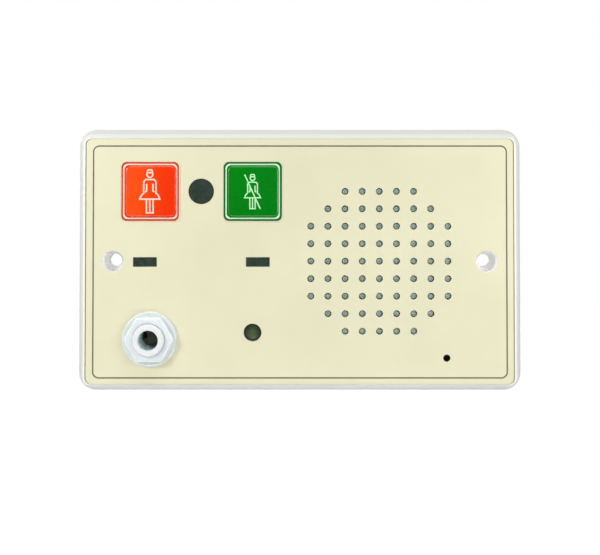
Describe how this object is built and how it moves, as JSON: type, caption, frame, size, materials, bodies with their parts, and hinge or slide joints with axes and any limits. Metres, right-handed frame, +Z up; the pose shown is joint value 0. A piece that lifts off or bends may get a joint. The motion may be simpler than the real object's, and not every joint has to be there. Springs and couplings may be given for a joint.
{
  "type": "nurse call button",
  "caption": "Wall plate nurse call point with a call key, a cancel key, a loudspeaker grille, a microphone, signal windows and a round socket for a hand unit.",
  "frame": {"origin": "centre of the plate's rear edge, in the plane of the wall", "axes": "+X to the right along the plate, +Y into the wall, +Z up; the front looks along -Y"},
  "size_m": [0.146, 0.0372, 0.086],
  "materials": {
    "plate_plastic": "moulded white ABS, low gloss",
    "label_film": "cream printed polyester film, satin",
    "call_red": "clear coated orange red, high gloss",
    "call_border": "deep red print, gloss",
    "cancel_green": "clear coated green, high gloss",
    "cancel_border": "deep green print, gloss",
    "carrier_plastic": "natural moulded plastic",
    "black_plastic": "black moulded plastic",
    "plunger_plastic": "natural acetal",
    "tinted_window": "dark tinted, gloss",
    "clear_acrylic": "clear acrylic, polished",
    "lamp_resin": "cast resin",
    "status_tint": "dark green brown tint, gloss",
    "socket_white": "white nylon, low gloss",
    "contact_metal": "tinned bronze strip",
    "grille_cloth": "woven acoustic cloth",
    "gasket_foam": "closed foam",
    "basket_steel": "zinc plated pressed steel",
    "surround_rubber": "moulded rubber",
    "cone_paper": "pressed pulp",
    "coil_copper": "copper wire on its former",
    "spider_cloth": "impregnated cloth",
    "pole_steel": "zinc plated",
    "magnet_ferrite": "sintered ferrite",
    "tag_strip": "phenolic strip with tinned tags",
    "clamp_steel": "zinc plated",
    "screw_steel": "zinc plated",
    "capsule_metal": "drawn can",
    "boot_rubber": "moulded rubber",
    "board_laminate": "green solder resist",
    "terminal_green": "moulded nylon",
    "chip_black": "moulded epoxy",
    "can_metal": "sleeved aluminium cans",
    "crystal_metal": "drawn can",
    "header_nylon": "natural nylon",
    "speaker_wire": "insulated wire",
    "microphone_wire": "screened cable",
    "socket_wire": "insulated wire"
  },
  "bodies": {
    "housing": {"face_plate": "plate_plastic", "overlay_label": "label_film", "call_key_frame": "call_border", "cancel_key_frame": "cancel_border", "call_switch_base": "black_plastic", "cancel_switch_base": "black_plastic", "signal_window": "tinted_window", "signal_receiver": "black_plastic", "left_indicator_window": "tinted_window", "right_indicator_window": "tinted_window", "left_light_guide": "clear_acrylic", "right_light_guide": "clear_acrylic", "left_indicator_lamp": "lamp_resin", "right_indicator_lamp": "lamp_resin", "status_lens": "status_tint", "status_lamp": "lamp_resin", "socket_nut": "socket_white", "socket_body": "socket_white", "socket_end_cap": "socket_white", "socket_tip_contact": "contact_metal", "socket_ring_contact": "contact_metal", "socket_sleeve_contact": "contact_metal", "speaker_cloth": "grille_cloth", "speaker_gasket": "gasket_foam", "speaker_basket": "basket_steel", "speaker_surround": "surround_rubber", "speaker_spider": "spider_cloth", "speaker_top_plate": "pole_steel", "speaker_magnet": "magnet_ferrite", "speaker_yoke": "pole_steel", "speaker_tags": "tag_strip", "speaker_clamps": "clamp_steel", "speaker_screws": "screw_steel", "microphone_capsule": "capsule_metal", "microphone_boot": "boot_rubber", "circuit_board": "board_laminate", "board_screws": "screw_steel", "terminal_block": "terminal_green", "terminal_screws": "screw_steel", "controller_chip": "chip_black", "amplifier_chip": "chip_black", "capacitors": "can_metal", "crystal": "crystal_metal", "lead_headers": "header_nylon", "speaker_lead": "speaker_wire", "microphone_lead": "microphone_wire", "socket_lead": "socket_wire"},
    "call_button": {"call_key": "call_red", "call_actuator": "carrier_plastic", "call_switch_plunger": "plunger_plastic"},
    "cancel_button": {"cancel_key": "cancel_green", "cancel_actuator": "carrier_plastic", "cancel_switch_plunger": "plunger_plastic"},
    "speaker_diaphragm": {"speaker_cone": "cone_paper", "speaker_dust_cap": "cone_paper", "speaker_voice_coil": "coil_copper"}
  },
  "joints": [
    {"name": "call_press", "type": "slide", "parent": "housing", "child": "call_button", "axis": [0, 1, 0], "range_m": [0, 0.0007], "stiffness_N_per_m": 800, "springref_m": -0.0015},
    {"name": "cancel_press", "type": "slide", "parent": "housing", "child": "cancel_button", "axis": [0, 1, 0], "range_m": [0, 0.0007], "stiffness_N_per_m": 800, "springref_m": -0.0015},
    {"name": "cone_slide", "type": "slide", "parent": "housing", "child": "speaker_diaphragm", "axis": [0, -1, 0], "range_m": [-0.0005, 0.0005], "stiffness_N_per_m": 1000, "deforming": ["speaker_surround", "speaker_spider"]}
  ]
}
